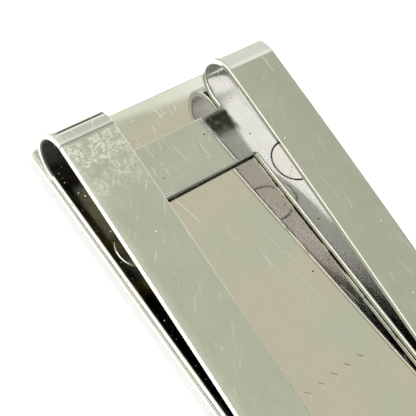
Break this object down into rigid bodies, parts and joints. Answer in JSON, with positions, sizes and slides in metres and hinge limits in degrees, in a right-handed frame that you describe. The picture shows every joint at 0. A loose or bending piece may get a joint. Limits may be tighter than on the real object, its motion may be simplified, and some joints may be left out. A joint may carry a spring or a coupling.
{
  "type": "money clip",
  "caption": "Polished metal money clip: thick rectangular plate with a folded spring frame riveted to its back, whose joined arms press banknotes against it.",
  "frame": {"origin": "under the middle of the clip, on the plate's front face, which lies on the table", "axes": "+Y along the clip towards the folded loops, +Z from the front face to the clamping arms, +X across"},
  "size_m": [0.026, 0.05, 0.0079],
  "materials": {
    "plate_metal": "polished mirror, fine handling scratches",
    "spring_metal": "polished spring sheet, fine scratches along its length",
    "rivet_metal": "polished flush with the sheet"
  },
  "bodies": {
    "root": {"front_plate": "plate_metal", "spring_base": "spring_metal", "left_bend": "spring_metal", "right_bend": "spring_metal", "rivets": "rivet_metal"},
    "arms": {"clamp_arms": "spring_metal"}
  },
  "joints": [
    {"name": "arm_flex", "type": "hinge", "parent": "root", "child": "arms", "pos_m": [0, 0.0217, 0.00515], "axis": [-1, 0, 0], "range_deg": [0, 8], "stiffness_Nm_per_rad": 1.5, "deforming": ["left_bend", "right_bend"]}
  ]
}
